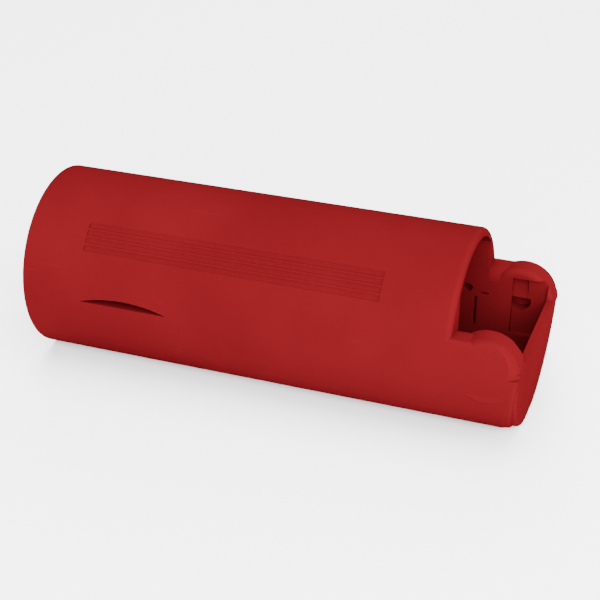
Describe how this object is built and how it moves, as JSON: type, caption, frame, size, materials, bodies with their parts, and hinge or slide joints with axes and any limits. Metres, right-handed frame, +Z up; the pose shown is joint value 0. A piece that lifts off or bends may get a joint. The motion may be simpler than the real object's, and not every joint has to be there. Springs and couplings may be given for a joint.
{
  "type": "ski edge tuning tool",
  "caption": "Red tube-shaped pocket tool that files ski and snowboard edges: flat running sole, tilting file, sliding guide fence and an open end bay with snap-in ears.",
  "frame": {"origin": "middle of the bounding box's base, on the flat running sole", "axes": "+X along the tube towards the open end bay, +Z up from the sole, +Y towards the flank with the fence button"},
  "size_m": [0.108, 0.04, 0.0381],
  "materials": {
    "red_moulding": "satin red injection moulding",
    "sole_plastic": "black low-friction sole",
    "dark_nylon": "dark glass-filled nylon",
    "file_steel": "chromed file steel with cut teeth",
    "screw_steel": "zinc-plated screw steel",
    "ground_steel": "ground steel",
    "spring_steel": "spring steel",
    "bronze": "sintered bronze",
    "nickel": "nickel-plated magnet",
    "anodised": "clear anodised aluminium",
    "white_acetal": "white acetal"
  },
  "bodies": {
    "housing": {"housing_shell": "red_moulding", "rear_cap": "red_moulding", "rear_cap_screws": "screw_steel", "sole_plate": "sole_plastic", "sole_screws": "screw_steel", "pivot_block_screws": "screw_steel", "front_pivot_block": "dark_nylon", "rear_pivot_block": "dark_nylon", "front_spindle_bush": "bronze", "rear_spindle_bush": "bronze", "detent_ball": "ground_steel", "detent_spring": "spring_steel", "front_cradle_spring": "spring_steel", "rear_cradle_spring": "spring_steel"},
    "cradle": {"file_cradle": "dark_nylon", "file_blade": "file_steel", "file_magnets": "nickel", "cradle_pivot_pins": "ground_steel"},
    "dial": {"angle_spindle": "ground_steel", "angle_dial": "dark_nylon", "dial_set_screw": "screw_steel", "spindle_retaining_ring": "spring_steel"},
    "fence": {"guide_fence": "anodised", "roller_axles": "ground_steel", "fence_slide_button": "red_moulding", "fence_button_screw": "screw_steel"},
    "front_roller": {"front_guide_roller": "white_acetal"},
    "rear_roller": {"rear_guide_roller": "white_acetal"}
  },
  "joints": [
    {"name": "angle_dial_turn", "type": "hinge", "parent": "housing", "child": "dial", "pos_m": [0.036, -0.0045, 0.01094], "axis": [1, 0, 0], "range_deg": [0, 180]},
    {"name": "cradle_tilt", "type": "hinge", "parent": "housing", "child": "cradle", "pos_m": [0, 0, 0.0052], "axis": [1, 0, 0], "range_deg": [0, 3], "deforming": ["front_cradle_spring", "rear_cradle_spring"]},
    {"name": "fence_slide", "type": "slide", "parent": "housing", "child": "fence", "axis": [0, 0, -1], "range_m": [0, 0.006]},
    {"name": "front_roller_spin", "type": "hinge", "parent": "fence", "child": "front_roller", "pos_m": [0.0286, 0.0057, 0.003], "axis": [0, 0, 1], "continuous": true},
    {"name": "rear_roller_spin", "type": "hinge", "parent": "fence", "child": "rear_roller", "pos_m": [-0.0452, 0.0057, 0.003], "axis": [0, 0, 1], "continuous": true}
  ],
  "couplings": [
    {"joint": "cradle_tilt", "follows": "angle_dial_turn", "ratio": 0.016667}
  ]
}
